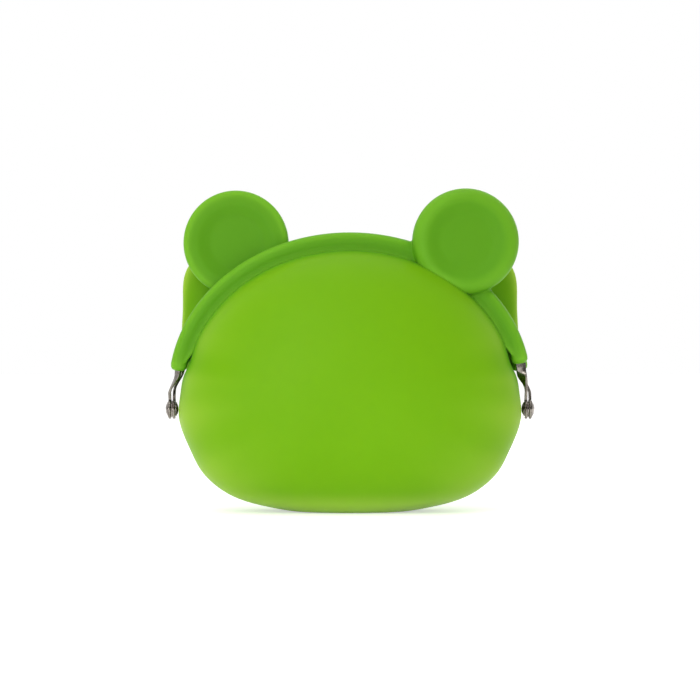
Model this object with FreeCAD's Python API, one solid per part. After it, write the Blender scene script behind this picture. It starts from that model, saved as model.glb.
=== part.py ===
"""Soft silicone coin purse with two round ears and two sprung-steel bows inside its rim.

X runs left to right, Y runs from front to back, Z is up. The origin is the middle of the
flat foot. The two halves of the mouth meet at Y = 0 and swing open about a hinge line that
runs along X through both rivets. The rear half's rim, ear and bow are the front half's,
turned half a turn about Z, so that the front half has the right ear and the rear half has
the left one.
"""
import FreeCAD
import Part
import math
import os

vec = FreeCAD.Vector

# Silicone pouch, in millimetres
pouch_half_width = 48.6
pouch_half_depth = 24.0
wall = 1.6
hinge_height = 29.0
belly_rise = 7.0
foot_sag = 1.2
halves_gap = 0.3
seat_gap = 0.3

# Rim arch: the outer edge of the bead is half an ellipse
arch_overhang = 2.7
arch_centre_rise = 6.0
arch_rise = 44.1
bead_height = 4.6
bead_depth = 5.3
bead_rounding = 1.9
bead_end_rounding = 1.5
bead_long_end_rise = 11.2
bead_ear_end_rise = 13.4

# Full shoulders of the rear lobe, seen past the front rim
shoulder_setback = 0.2
shoulder_drop = 2.1
shoulder_clearance = 0.5

# Ears
ear_radius = 15.0
ear_thickness = 8.8
ear_front_rounding = 3.4
ear_back_rounding = 1.6
ear_stand = 6.1
ear_rim_width = 3.6
dish_depth = 1.1
dish_slope_width = 4.4

# Steel bow inside each bead, with the plate that stiffens the ear
strip_width = 2.8
strip_thickness = 0.8
strip_clearance = 0.1
strip_showing = 0.8
arm_waist = 1.7
ear_plate_radius = 8.8

# Hinge stack, from the pouch outwards
rivet_clearance = 0.2
rivet_tail_height = 0.45
rivet_tail_radius = 1.8
rivet_shank_radius = 1.0
rivet_head_height = 0.85
rivet_head_radius = 2.4
washer_thickness = 0.3
inner_washer_radius = 2.0
spacer_radius = 2.3
eyelet_radius = 2.85
eyelet_thickness = 0.8
play = 0.05

# Angles in degrees, counts and shares
ear_angle = 55.0
full_turn = 360.0
half_turn = 180.0
quarter_turn = 90.0
spine_steps = 24
loft_degree = 2
arm_steps = 10
arch_angles = (90.0, 75.0, 60.0, 45.0, 30.0, 18.0, 10.0)
dome_power = 2.5
front_depth_shares = (0.0, 0.25, 0.45, 0.62, 0.76, 0.87, 0.94, 0.98, 0.998)
rear_depth_shares = (
    0.0, 0.09, 0.18, 0.25, 0.31, 0.37, 0.44, 0.51, 0.58, 0.66, 0.75, 0.83, 0.89, 0.94, 0.98, 0.998,
)
twist_end_share = 0.7
closing_start_share = 0.2

# Side of the pouch above the hinge, as shares of its half width and of the long bead end's rise
side_shares = ((0.972, 0.83), (0.988, 0.466), (0.998, 0.13))
# Bowl below the hinge, as shares of half width and hinge height
bowl_shares = (
    (1.0, 0.94), (0.972, 0.755), (0.926, 0.58), (0.87, 0.403),
    (0.805, 0.284), (0.704, 0.166), (0.486, 0.048),
)
# Rear shoulders, one pair for each arch station, as shares of their half width and top
shoulder_shares = (
    (0.0, 0.985), (0.3, 0.995), (0.585, 0.995), (0.83, 0.975), (0.978, 0.9), (1.0, 0.76), (0.998, 0.62),
)
side_swell_shares = (0.7, 0.3, 0.08)
swell_full_share = 0.56

# Places worked out from the sizes
arch_half_width = pouch_half_width + arch_overhang
arch_centre_height = hinge_height + arch_centre_rise
arch_top = arch_centre_height + arch_rise
belly_height = hinge_height + belly_rise
shoulder_half_width = pouch_half_width - shoulder_setback
shoulder_top = arch_top - shoulder_drop
shoulder_front = halves_gap / 2 + bead_depth + shoulder_clearance
shoulder_ridge = swell_full_share * pouch_half_depth
half_gap = halves_gap / 2
strip_depth = half_gap + bead_depth / 2
overrun = pouch_half_depth
across = vec(1, 0, 0)
backward = vec(0, 1, 0)
upward = vec(0, 0, 1)


def arch_normal(station):
    """Outward normal of the rim arch at an angle of its ellipse."""
    c, s = math.cos(math.radians(station)), math.sin(math.radians(station))
    return vec(c * arch_rise, 0, s * arch_half_width).normalize()


def arch_point(station, inset):
    """Point of the rim arch at an angle of its ellipse, moved in along the normal."""
    c, s = math.cos(math.radians(station)), math.sin(math.radians(station))
    edge = vec(c * arch_half_width, 0, arch_centre_height + s * arch_rise)
    return edge - arch_normal(station) * inset


def station_at_rise(rise):
    """Angle of the ellipse where its right side is this far above the hinge."""
    return math.degrees(math.asin((rise - arch_centre_rise) / arch_rise))


def smooth(at, start, full):
    """0 before start, 1 after full, and a smooth rise between."""
    t = min(1, max(0, (at - start) / (full - start)))
    return t * t * (3 - 2 * t)


def narrowing(share):
    """How much of the outline is left at a share of the pouch's depth."""
    return (1 - share ** dome_power) ** (1 / dome_power)


def half_outline(swell):
    """Right half of the pouch's outline before it narrows, with its shoulders out by a share."""
    lift = 1 / narrowing(swell_full_share)
    middle = upward * belly_height
    points = []
    for station, (x_share, z_share) in zip(arch_angles, shoulder_shares):
        plain = arch_point(station, bead_height + seat_gap) - middle
        full = vec(x_share * shoulder_half_width, 0, z_share * shoulder_top) - middle
        points.append(middle + plain * (1 - swell) + full * (swell * lift))
    for (x_share, z_share), weight in zip(side_shares, side_swell_shares):
        height = hinge_height + z_share * bead_long_end_rise
        plain = vec(x_share * pouch_half_width, 0, height) - middle
        points.append(middle + plain * (1 + swell * weight * (lift - 1)))
    for x_share, z_share in bowl_shares:
        points.append(vec(x_share * pouch_half_width, 0, z_share * hinge_height))
    return points + [upward * -foot_sag]


def ring(depth, inset, side, swell=0):
    """Closed outline of the pouch at a depth, at the front (-1) or rear (1), moved in by an inset."""
    middle = upward * belly_height
    share = depth / (pouch_half_depth - inset)
    right = []
    for point in half_outline(swell):
        ray = point - middle
        reach = (ray.Length - inset) * narrowing(share)
        at = middle + ray.normalize() * reach
        right.append(vec(at.x, side * depth, at.z))
    left = [vec(-p.x, p.y, p.z) for p in reversed(right[1:-1])]
    curve = Part.BSplineCurve()
    curve.interpolate(Points=right + left, PeriodicFlag=True)
    return Part.Wire([curve.toShape()])


def lofted(rings):
    """Smooth solid through closed outlines; a low degree keeps it from waving between them."""
    return Part.makeLoft(rings, True, False, False, loft_degree)


def front_dome(inset):
    """Solid of the front lobe from the mid plane to its belly, moved in by an inset."""
    full = pouch_half_depth - inset
    return lofted([ring(s * full, inset, -1) for s in front_depth_shares])


def rear_dome(inset):
    """Solid of the rear lobe, whose shoulders swell out behind the rim, moved in by an inset."""
    full = pouch_half_depth - inset
    rings = []
    for share in rear_depth_shares:
        depth = share * full
        rings.append(ring(depth, inset, 1, smooth(depth - inset, shoulder_front, shoulder_ridge)))
    return lofted(rings)


def whole_dome(inset):
    """Solid of both sides in one, as they are below the hinge."""
    full = pouch_half_depth - inset
    front = [ring(s * full, inset, -1) for s in reversed(front_depth_shares)]
    rear = [ring(s * full, inset, 1) for s in front_depth_shares[1:]]
    return lofted(front + rear)


def block(x_range, y_range, z_range):
    """Box from three pairs of low and high."""
    low = vec(x_range[0], y_range[0], z_range[0])
    size = vec(x_range[1], y_range[1], z_range[1]) - low
    return Part.makeBox(size.x, size.y, size.z, low)


def region(low, high, y_low=-2 * pouch_half_depth, y_high=2 * pouch_half_depth):
    """Everything between two heights, and between two depths where they are given."""
    reach = 2 * arch_half_width
    return block((-reach, reach), (y_low, y_high), (low, high))


def pouch_base():
    """Bowl below the hinge line, with its flat foot."""
    outside = whole_dome(0).common(region(0, hinge_height - half_gap))
    inside = whole_dome(wall).common(region(wall, arch_top))
    return outside.cut(inside)


def lobe(dome, side):
    """Soft panel of one half, from the hinge line up to the rim; dome gives its solid at an inset."""
    ends = sorted((side * half_gap, side * (pouch_half_depth + overrun)))
    shell = dome(0).cut(dome(wall))
    return shell.common(region(hinge_height + half_gap, arch_top + overrun, *ends))


def rectangle(middle, first, second, width, depth):
    """Closed wire of a rectangle; first and second are the directions of its sides."""
    a, b = first * (width / 2), second * (depth / 2)
    first_corner = middle + a + b
    return Part.makePolygon([first_corner, middle - a + b, middle - a - b, middle + a - b, first_corner])


def rounded_rectangle(middle, first, second, width, depth, rounding):
    """Closed wire of a rectangle with round corners."""
    solid = Part.Face(rectangle(middle, first, second, width, depth)).extrude(first.cross(second) * depth)
    edges = [e for e in solid.Edges if abs(e.tangentAt(e.FirstParameter).dot(first.cross(second))) > 0.9]
    rounded = solid.makeFillet(rounding, edges)
    face = min(rounded.Faces, key=lambda f: (f.CenterOfMass - middle).Length)
    return face.OuterWire


def swept(profile, first_station, last_station):
    """Solid of a profile, placed at the first station, carried along the arch."""
    step = (last_station - first_station) / spine_steps
    points = [arch_point(first_station + step * n, 0) for n in range(spine_steps + 1)]
    spine = Part.BSplineCurve()
    spine.interpolate(Points=points)
    pipe = Part.BRepOffsetAPI.MakePipeShell(Part.Wire([spine.toShape()]))
    pipe.setBiNormalMode(backward)
    pipe.add(profile)
    pipe.build()
    pipe.makeSolid()
    return pipe.shape()


def bead_middle(station):
    """Middle of the front bead's section at a station of the arch."""
    return arch_point(station, bead_height / 2) - backward * strip_depth


def bead_ends():
    """Stations of the front bead's right and left ends."""
    return station_at_rise(bead_ear_end_rise), half_turn - station_at_rise(bead_long_end_rise)


def bead():
    """Front bead with round edges and ends, without its channel."""
    right, left = bead_ends()
    middle, outward = bead_middle(right), arch_normal(right)
    profile = rounded_rectangle(middle, outward, backward, bead_height, bead_depth, bead_rounding)
    solid = swept(profile, right, left)
    ends = [min(solid.Faces, key=lambda f: (f.CenterOfMass - bead_middle(station)).Length)
            for station in (right, left)]
    return solid.makeFillet(bead_end_rounding, [edge for face in ends for edge in face.Edges])


def bead_room():
    """Plain bar around the bead that clears it by the seat gap, used to cut the ear."""
    right, left = bead_ends()
    width, depth = bead_height + 2 * seat_gap, bead_depth + 2 * seat_gap
    return swept(rectangle(bead_middle(right), arch_normal(right), backward, width, depth), right, left)


def strip(growth=0, beyond=0):
    """Flat steel strip along the front bead, larger by a growth and longer beyond each end."""
    right = station_at_rise(bead_ear_end_rise - strip_showing - beyond)
    left = half_turn - station_at_rise(bead_long_end_rise - strip_showing - beyond)
    width, depth = strip_width + 2 * growth, strip_thickness + 2 * growth
    profile = rectangle(bead_middle(right), arch_normal(right), backward, width, depth)
    return swept(profile, right, left), right, left


def ear_centre():
    """Centre of the front half's ear, which is the right one, at the front of the gap."""
    return arch_point(ear_angle, -ear_stand) - backward * half_gap


def ear_plate(growth=0):
    """Round plate of the bow inside the ear, larger by a growth on every side."""
    thickness = strip_thickness + 2 * growth
    start = arch_point(ear_angle, -ear_stand) - backward * (strip_depth + thickness / 2)
    return Part.makeCylinder(ear_plate_radius + growth, thickness, start, backward)


def ear():
    """Thick round ear with soft edges, dished on its face and its back."""
    centre = ear_centre()
    at = lambda radius, depth: centre + across * radius - backward * depth
    front, back, bend = ear_front_rounding, ear_back_rounding, 1 - math.sqrt(0.5)
    dish_edge, dish_floor = ear_radius - ear_rim_width, ear_thickness - dish_depth
    dish_floor_radius = dish_edge - dish_slope_width
    back_foot, back_lip = at(dish_floor_radius, dish_depth), at(dish_edge, 0)
    back_edge, back_side = at(ear_radius - back, 0), at(ear_radius, back)
    front_side, front_edge = at(ear_radius, ear_thickness - front), at(ear_radius - front, ear_thickness)
    front_middle = at(ear_radius - front * bend, ear_thickness - front * bend)
    dish_lip, dish_foot = at(dish_edge, ear_thickness), at(dish_floor_radius, dish_floor)
    edges = [
        Part.makeLine(at(0, dish_depth), back_foot),
        Part.makeLine(back_foot, back_lip),
        Part.makeLine(back_lip, back_edge),
        Part.Arc(back_edge, at(ear_radius - back * bend, back * bend), back_side).toShape(),
        Part.makeLine(back_side, front_side),
        Part.Arc(front_side, front_middle, front_edge).toShape(),
        Part.makeLine(front_edge, dish_lip),
        Part.makeLine(dish_lip, dish_foot),
        Part.makeLine(dish_foot, at(0, dish_floor)),
        Part.makeLine(at(0, dish_floor), at(0, dish_depth)),
    ]
    return Part.Face(Part.Wire(edges)).revolve(centre, backward, full_turn)


def stack_places():
    """Distances along X of the hinge stack's faces, from the pouch outwards."""
    places, at = {}, pouch_half_width + rivet_clearance
    for name, length in (("tail", rivet_tail_height), ("inner_washer", washer_thickness),
                         ("inner_eyelet", eyelet_thickness), ("spacer", washer_thickness),
                         ("outer_eyelet", eyelet_thickness), ("head", rivet_head_height)):
        places[name] = (at, at + length)
        at += length + (0 if name == "tail" else play)
    return places


def disc(radius, x_range, side):
    """Round disc about the hinge line on one side of the purse."""
    start = vec(side * x_range[0], 0, hinge_height)
    return Part.makeCylinder(radius, x_range[1] - x_range[0], start, across * side)


def dome_cap(radius, base, height, side):
    """Domed rivet end from its flat base outwards; a negative height domes towards the pouch."""
    tall = abs(height)
    ball_radius = (radius ** 2 + tall ** 2) / (2 * tall)
    heading = math.copysign(1, height)
    centre = vec(side * (base - heading * (ball_radius - tall)), 0, hinge_height)
    ball = Part.makeSphere(ball_radius, centre)
    return ball.common(disc(radius, sorted((base, base + height)), side))


def rivet(side):
    """Rivet with a domed head outside and a peened tail inside."""
    places = stack_places()
    tail_base = places["tail"][1]
    head_base = places["head"][0]
    shank = disc(rivet_shank_radius, (tail_base - play, head_base + play), side)
    head = dome_cap(rivet_head_radius, head_base, rivet_head_height, side)
    tail = dome_cap(rivet_tail_radius, tail_base, -rivet_tail_height, side)
    return shank.fuse([head, tail]).removeSplitter()


def washer(name, radius, side):
    """Flat washer of the hinge stack."""
    low, high = stack_places()[name]
    hole = disc(rivet_shank_radius + play, (low - play, high + play), side)
    return disc(radius, (low, high), side).cut(hole)


def end_wire(body, station):
    """Outline of the strip's end at a station, in the order of its corners round the arch's normal."""
    face = min(body.Faces, key=lambda f: (f.CenterOfMass - bead_middle(station)).Length)
    plain = rectangle(bead_middle(station), arch_normal(station), backward, strip_width, strip_thickness)
    corners = [min(face.Vertexes, key=lambda v: (v.Point - corner.Point).Length).Point
               for corner in plain.OrderedVertexes]
    return Part.makePolygon(corners + corners[:1])


def arm(strip_end, station, name, side):
    """Strip that leaves the bead, twists a quarter turn and ends in an eyelet on the rivet."""
    low, high = stack_places()[name]
    begin = bead_middle(station)
    end = vec(side * (low + high) / 2, 0, hinge_height + rivet_shank_radius + play + eyelet_thickness)
    outward = arch_normal(station)
    sections = [strip_end]
    for n in range(1, arm_steps + 1):
        t = n / arm_steps
        ease = smooth(t, 0, twist_end_share)
        closing = smooth(t, closing_start_share, 1)
        height = begin.z + (end.z - begin.z) * t
        centre = vec(begin.x + (end.x - begin.x) * ease, begin.y * (1 - closing), height)
        turn = FreeCAD.Rotation(upward, -side * quarter_turn * ease)
        width_way = turn.multVec(vec(outward.x, 0, outward.z * (1 - ease)).normalize())
        thin_way = turn.multVec(backward)
        width = strip_width + (arm_waist - strip_width) * math.sin(math.pi * t / 2)
        thickness = strip_thickness + (eyelet_thickness - strip_thickness) * t
        sections.append(rectangle(centre, width_way, thin_way, width, thickness))
    return Part.makeLoft(sections, True, True)


def bow():
    """Steel bow of the front half: strip, ear plate, two arms and two eyelets."""
    body, right, left = strip()
    places = stack_places()
    pieces = [ear_plate()]
    holes = []
    for station, name, side in ((right, "inner_eyelet", 1), (left, "outer_eyelet", -1)):
        low, high = places[name]
        strip_end = end_wire(body, station)
        pieces += [arm(strip_end, station, name, side), disc(eyelet_radius, (low, high), side)]
        holes.append(disc(rivet_shank_radius + play, (low - play, high + play), side))
    return body.fuse(pieces).cut(Part.makeCompound(holes)).removeSplitter()


def front_rim():
    """Front bead with the channel that holds its bow."""
    channel = strip(strip_clearance, bead_end_rounding)[0]
    return bead().cut(channel).cut(ear_plate(strip_clearance))


def seated_ear(dome):
    """Ear of the front half, cut to sit on its bead and against a lobe's dome."""
    cut = ear()
    for tool in (dome, bead_room(), ear_plate(strip_clearance)):
        cut = cut.cut(tool)
    return max(cut.Solids, key=lambda solid: solid.Volume)


def turned(shape):
    """Shape turned half a turn about Z, from the front half to the rear half or back."""
    copy = shape.copy()
    copy.rotate(vec(0, 0, 0), upward, half_turn)
    return copy


def build():
    """Every sub-part by its name."""
    front_bead = front_rim()
    front_bow = bow()
    parts = {
        "pouch_base": pouch_base(),
        "front_lobe": lobe(front_dome, -1),
        "rear_lobe": lobe(rear_dome, 1),
        "front_rim": front_bead,
        "rear_rim": turned(front_bead),
        "front_ear": seated_ear(front_dome(-seat_gap)),
        "rear_ear": turned(seated_ear(turned(rear_dome(-seat_gap)))),
        "front_bow": front_bow,
        "rear_bow": turned(front_bow),
    }
    for name, side in (("left", -1), ("right", 1)):
        parts[name + "_rivet"] = rivet(side)
        parts[name + "_inner_washer"] = washer("inner_washer", inner_washer_radius, side)
        parts[name + "_spacer_washer"] = washer("spacer", spacer_radius, side)
    return parts


def main():
    os.makedirs("parts", exist_ok=True)
    for name, shape in build().items():
        shape.exportStep("parts/" + name + ".step")
        box = shape.optimalBoundingBox()
        print(name, shape.isValid(), len(shape.Solids), round(shape.Volume, 2),
              [round(v, 2) for v in (box.XMin, box.XMax, box.YMin, box.YMax, box.ZMin, box.ZMax)])


if __name__ == "__main__":
    main()
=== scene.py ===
"""Soft silicone coin purse with two round ears and two sprung-steel bows, dressed for rendering.

The purse's sizes are in millimetres and the same as the solids', and the studio's are in metres.
X runs left to right, Y from front to back and Z is up. Each half is built as the front one; the
rear half is turned half a turn about Z.
"""
from __future__ import annotations

import logging
import math
from collections.abc import Callable
from dataclasses import dataclass
from enum import Enum
from functools import cached_property

import bmesh
import bpy
import numpy as np
from mathutils import Matrix, Vector

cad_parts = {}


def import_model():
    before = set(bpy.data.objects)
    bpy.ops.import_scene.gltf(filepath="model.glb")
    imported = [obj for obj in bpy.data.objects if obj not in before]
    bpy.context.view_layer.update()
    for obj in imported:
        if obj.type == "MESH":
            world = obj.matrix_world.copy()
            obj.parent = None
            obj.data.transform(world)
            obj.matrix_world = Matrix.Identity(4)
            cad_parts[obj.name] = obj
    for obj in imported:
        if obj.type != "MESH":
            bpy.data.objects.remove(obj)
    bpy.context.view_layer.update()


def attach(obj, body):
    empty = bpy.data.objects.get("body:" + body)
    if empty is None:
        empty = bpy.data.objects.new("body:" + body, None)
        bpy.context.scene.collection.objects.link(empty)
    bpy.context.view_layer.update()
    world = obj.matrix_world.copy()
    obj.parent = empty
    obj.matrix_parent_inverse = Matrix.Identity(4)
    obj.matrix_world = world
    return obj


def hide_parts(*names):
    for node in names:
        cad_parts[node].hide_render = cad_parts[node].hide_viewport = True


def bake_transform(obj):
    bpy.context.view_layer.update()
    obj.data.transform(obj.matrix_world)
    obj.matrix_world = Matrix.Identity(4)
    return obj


MM = 0.001
MERGE_DISTANCE = 1e-7
MIDDLE_HEIGHT = 0.0458
WHITE = (1.0, 1.0, 1.0, 1.0)
LOG = logging.getLogger("purse")

Pair = tuple[float, float]
Place = tuple[float, float, float]
Skin = tuple[np.ndarray, list[tuple[int, ...]]]
Socket = bpy.types.NodeSocket


class Half(Enum):
    """One half of the purse, with the name of the body that carries it."""

    FRONT = "front_half"
    REAR = "rear_half"

    @property
    def word(self) -> str:
        """Short word for the names of this half's pieces."""
        return self.name.lower()

    @property
    def sign(self) -> int:
        """1 for the front half and -1 for the rear half, which is turned round."""
        return 1 if self is Half.FRONT else -1

    def place(self, points: np.ndarray) -> np.ndarray:
        """Points of the front half, moved to this half."""
        return points * np.array([self.sign, self.sign, 1.0])


class Colour(Enum):
    """Plain colours of the finishes, as they are written in sRGB from 0 to 1."""

    LIME = (0.465, 0.700, 0.000)
    DEEP_LIME = (0.440, 0.680, 0.000)
    # PALE_LIME and PALE_LEAF are a painted highlight, mixed in where the silicone bulges out.
    PALE_LIME = (0.640, 0.810, 0.240)
    # LEAF and its kin are darker than LIME partly as the rim's own deeper green and partly as painted shade
    # on the faces of the rim and ears.
    LEAF = (0.390, 0.650, 0.090)
    DEEP_LEAF = (0.370, 0.630, 0.085)
    # SHADED_LEAF is painted shade with the rim's green, mixed into the pouch next to the rim.
    SHADED_LEAF = (0.350, 0.640, 0.040)
    PALE_LEAF = (0.470, 0.725, 0.155)
    STEEL = (0.56, 0.54, 0.51)
    DARK_STEEL = (0.26, 0.23, 0.20)
    BRIGHT_STEEL = (0.72, 0.69, 0.66)
    PAPER = (0.97, 0.97, 0.97)

    @property
    def linear(self) -> tuple[float, float, float, float]:
        """The colour as a shader socket takes it, by the sRGB curve."""
        parts = [c / 12.92 if c <= 0.04045 else ((c + 0.055) / 1.055) ** 2.4 for c in self.value]
        return (parts[0], parts[1], parts[2], 1.0)


def smooth(at: float, start: float, full: float) -> float:
    """Give 0 before start, 1 after full, and a smooth rise between."""
    share = min(1.0, max(0.0, (at - start) / (full - start)))
    return share * share * (3 - 2 * share)


def forward(depth: float) -> np.ndarray:
    """Step from the mid plane towards the front."""
    return np.array([0.0, -depth, 0.0])


@dataclass(frozen=True)
class PurseForm:
    """Sizes of the purse, and the curves that follow from them."""

    pouch_half_width: float = 48.6
    pouch_half_depth: float = 24.0
    wall: float = 1.6
    hinge_height: float = 29.0
    belly_rise: float = 7.0
    foot_sag: float = 1.2
    halves_gap: float = 0.3
    seat_gap: float = 0.3
    arch_overhang: float = 2.7
    arch_centre_rise: float = 6.0
    arch_rise: float = 44.1
    bead_height: float = 4.6
    bead_depth: float = 5.3
    bead_long_end_rise: float = 11.2
    bead_ear_end_rise: float = 13.4
    shoulder_setback: float = 0.2
    shoulder_drop: float = 2.1
    shoulder_clearance: float = 0.5
    dome_power: float = 2.5
    swell_full_share: float = 0.56
    arch_angles: tuple[float, ...] = (90.0, 75.0, 60.0, 45.0, 30.0, 18.0, 10.0)
    side_shares: tuple[Pair, ...] = ((0.972, 0.83), (0.988, 0.466), (0.998, 0.13))
    bowl_shares: tuple[Pair, ...] = (
        (1.0, 0.94), (0.972, 0.755), (0.926, 0.58), (0.87, 0.403),
        (0.805, 0.284), (0.704, 0.166), (0.486, 0.048),
    )
    shoulder_shares: tuple[Pair, ...] = (
        (0.0, 0.985), (0.3, 0.995), (0.585, 0.995), (0.83, 0.975),
        (0.972, 0.9), (0.992, 0.76), (0.995, 0.62),
    )
    side_swell_shares: tuple[float, ...] = (0.7, 0.3, 0.08)

    @property
    def half_gap(self) -> float:
        """Distance of each half from the mid plane."""
        return self.halves_gap / 2

    @property
    def arch_half_width(self) -> float:
        """Half width of the rim's outer edge."""
        return self.pouch_half_width + self.arch_overhang

    @property
    def arch_centre_height(self) -> float:
        """Height of the middle of the rim's ellipse."""
        return self.hinge_height + self.arch_centre_rise

    @property
    def strip_depth(self) -> float:
        """Depth of the bead's middle, where the steel strip lies."""
        return self.half_gap + self.bead_depth / 2

    @property
    def belly(self) -> np.ndarray:
        """Middle that the pouch's outlines shrink towards."""
        return np.array([0.0, 0.0, self.hinge_height + self.belly_rise])

    def arch_normal(self, station: float) -> np.ndarray:
        """Outward normal of the rim arch.

        Args:
            station: Angle of the arch's ellipse, in degrees.

        Returns:
            A vector of length 1.
        """
        c, s = math.cos(math.radians(station)), math.sin(math.radians(station))
        normal = np.array([c * self.arch_rise, 0.0, s * self.arch_half_width])
        return normal / np.linalg.norm(normal)

    def arch_point(self, station: float, inset: float) -> np.ndarray:
        """Point of the rim arch on the mid plane.

        Args:
            station: Angle of the arch's ellipse, in degrees.
            inset: How far the point is moved in along the normal.

        Returns:
            The point.
        """
        c, s = math.cos(math.radians(station)), math.sin(math.radians(station))
        edge = np.array([c * self.arch_half_width, 0.0, self.arch_centre_height + s * self.arch_rise])
        return edge - self.arch_normal(station) * inset

    def station_at_rise(self, rise: float) -> float:
        """Angle of the ellipse where its right side is this far above the hinge."""
        return math.degrees(math.asin((rise - self.arch_centre_rise) / self.arch_rise))

    def bead_middle(self, station: float) -> np.ndarray:
        """Middle of the bead's section at a station."""
        return self.arch_point(station, self.bead_height / 2) + forward(self.strip_depth)

    def narrowing(self, share: float) -> float:
        """How much of the outline is left at a share of the pouch's depth."""
        return max(0.0, 1 - share ** self.dome_power) ** (1 / self.dome_power)

    def outline(self, swell: float) -> np.ndarray:
        """Corners of the pouch's closed outline before it narrows.

        Args:
            swell: Share by which the shoulders stand out.

        Returns:
            Points on the mid plane, clockwise from the top as seen from the front.
        """
        lift = 1 / self.narrowing(self.swell_full_share)
        shoulder_width = self.pouch_half_width - self.shoulder_setback
        shoulder_top = self.arch_centre_height + self.arch_rise - self.shoulder_drop
        right = []
        for station, (x_share, z_share) in zip(self.arch_angles, self.shoulder_shares):
            plain = self.arch_point(station, self.bead_height + self.seat_gap) - self.belly
            full = np.array([x_share * shoulder_width, 0.0, z_share * shoulder_top]) - self.belly
            right.append(self.belly + plain * (1 - swell) + full * swell * lift)
        for (x_share, z_share), weight in zip(self.side_shares, self.side_swell_shares):
            height = self.hinge_height + z_share * self.bead_long_end_rise
            plain = np.array([x_share * self.pouch_half_width, 0.0, height]) - self.belly
            right.append(self.belly + plain * (1 + swell * weight * (lift - 1)))
        for x_share, z_share in self.bowl_shares:
            right.append(np.array([x_share * self.pouch_half_width, 0.0, z_share * self.hinge_height]))
        right.append(np.array([0.0, 0.0, -self.foot_sag]))
        left = [point * np.array([-1.0, 1.0, 1.0]) for point in reversed(right[1:-1])]
        return np.array(right + left)

    def shoulder_swell(self, depth: float, half: Half) -> float:
        """Share by which the shoulders stand out.

        Args:
            depth: Distance from the mid plane.
            half: Which half is meant; the front one has no shoulders.

        Returns:
            A share from 0 to 1.
        """
        front = self.half_gap + self.bead_depth + self.shoulder_clearance
        ridge = self.swell_full_share * self.pouch_half_depth
        return 0.0 if half is Half.FRONT else smooth(depth, front, ridge)

    def ring_corners(self, depth: float, inset: float, swell: float) -> np.ndarray:
        """Corners of the pouch's outline at a depth.

        Args:
            depth: Distance from the mid plane.
            inset: How far the corners are moved in.
            swell: Share by which the shoulders stand out.

        Returns:
            Points in the order of the outline.
        """
        reach_share = self.narrowing(min(1.0, max(0.0, depth) / (self.pouch_half_depth - inset)))
        rays = self.outline(swell) - self.belly
        lengths = np.linalg.norm(rays, axis=1, keepdims=True)
        return self.belly + rays / lengths * (lengths - inset) * reach_share + forward(depth)


def closed_curve(corners: np.ndarray, steps: list[int]) -> np.ndarray:
    """Smooth closed curve through corners, as a periodic cubic spline.

    Args:
        corners: Points that the curve goes through.
        steps: How many points each span gets, one number for each corner.

    Returns:
        Points along the curve.
    """
    count = len(corners)
    following = np.roll(corners, -1, axis=0)
    spans = np.linalg.norm(following - corners, axis=1)
    before = np.roll(spans, 1)
    matrix = np.zeros((count, count))
    for n in range(count):
        matrix[n, n - 1] += 1 / before[n]
        matrix[n, n] += 2 / before[n] + 2 / spans[n]
        matrix[n, (n + 1) % count] += 1 / spans[n]
    rise = (following - corners) / spans[:, None] ** 2
    slopes = np.linalg.solve(matrix, 3 * (rise + np.roll(rise, 1, axis=0)))
    points = []
    for n in range(count):
        t = (np.arange(steps[n]) / steps[n])[:, None]
        m = (n + 1) % count
        points.append(
            (2 * t ** 3 - 3 * t ** 2 + 1) * corners[n] + (3 * t ** 2 - 2 * t ** 3) * corners[m]
            + (t ** 3 - 2 * t ** 2 + t) * spans[n] * slopes[n] + (t ** 3 - t ** 2) * spans[n] * slopes[m]
        )
    return np.concatenate(points)


def in_scene(name: str, data: bpy.types.ID) -> bpy.types.Object:
    """Put a mesh, a lamp or a camera in the scene.

    Args:
        name: Name of the new object.
        data: What the object shows.

    Returns:
        The new object.
    """
    made = bpy.data.objects.new(name, data)
    bpy.context.scene.collection.objects.link(made)
    return made


def make_piece(name: str, skin: Skin, half: Half = Half.FRONT) -> bpy.types.Object:
    """Make an object from a skin.

    Args:
        name: Name of the new object.
        skin: Points in the front half's place, in millimetres, and faces.
        half: Half that the piece is moved to.

    Returns:
        The new object.
    """
    points, faces = skin
    mesh = bpy.data.meshes.new(name)
    mesh.from_pydata((half.place(points) * MM).tolist(), [], faces)
    mesh.update()
    return in_scene(name, mesh)


def face_outwards(piece: bpy.types.Object) -> None:
    """Turn the faces of a closed piece outwards and shade them smooth.

    Args:
        piece: A closed mesh, whose doubled points are merged.
    """
    work = bmesh.new()
    work.from_mesh(piece.data)
    bmesh.ops.remove_doubles(work, verts=work.verts, dist=MERGE_DISTANCE)
    bmesh.ops.recalc_face_normals(work, faces=work.faces)
    if work.calc_volume(signed=True) < 0:
        bmesh.ops.reverse_faces(work, faces=work.faces)
    work.to_mesh(piece.data)
    work.free()
    piece.data.shade_smooth()


def closed_piece(name: str, skin: Skin, half: Half = Half.FRONT) -> bpy.types.Object:
    """Make an object from a closed skin, with its faces turned outwards.

    Args:
        name: Name of the new object.
        skin: Points in the front half's place, in millimetres, and faces.
        half: Half that the piece is moved to.

    Returns:
        The new object.
    """
    piece = make_piece(name, skin, half)
    face_outwards(piece)
    return piece


def finish_skin(piece: bpy.types.Object, material: bpy.types.Material, crease: float = 180.0) -> None:
    """Shade a piece smooth up to its creases and give it its one material.

    Args:
        piece: A finished mesh.
        material: What it is made of.
        crease: Angle from which an edge stays sharp, in degrees.
    """
    piece.data.shade_smooth()
    if crease < 180.0:
        piece.data.set_sharp_from_angle(angle=math.radians(crease))
    piece.data.materials.clear()
    piece.data.materials.append(material)


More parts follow.
